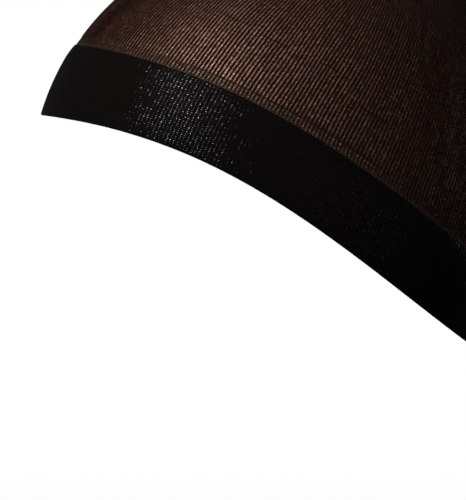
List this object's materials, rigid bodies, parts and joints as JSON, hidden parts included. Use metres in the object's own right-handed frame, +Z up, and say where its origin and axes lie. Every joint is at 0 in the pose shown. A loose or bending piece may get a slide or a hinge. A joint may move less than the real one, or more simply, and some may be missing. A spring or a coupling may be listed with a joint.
{
  "type": "stocking wig cap",
  "caption": "Sheer stretch-knit wig cap, a domed crown gathered shut at the top, on a wide opaque double elastic band, in the form it takes on a head.",
  "frame": {"origin": "highest point of the crown's inner face, where the cap sits on the top of the head", "axes": "+Z up, -Y towards the forehead, +X towards the wearer's left"},
  "size_m": [0.1556, 0.1899, 0.1628],
  "materials": {
    "elastic_knit": "black nylon and elastane double knit, fine loops with a soft gleam",
    "dense_knit": "close black-brown nylon knit",
    "sheer_knit": "see-through black-brown nylon knit with fine ribs"
  },
  "bodies": {
    "root": {"band": "elastic_knit", "join_courses": "dense_knit", "crown": "sheer_knit", "crown_gather": "dense_knit"}
  },
  "joints": []
}
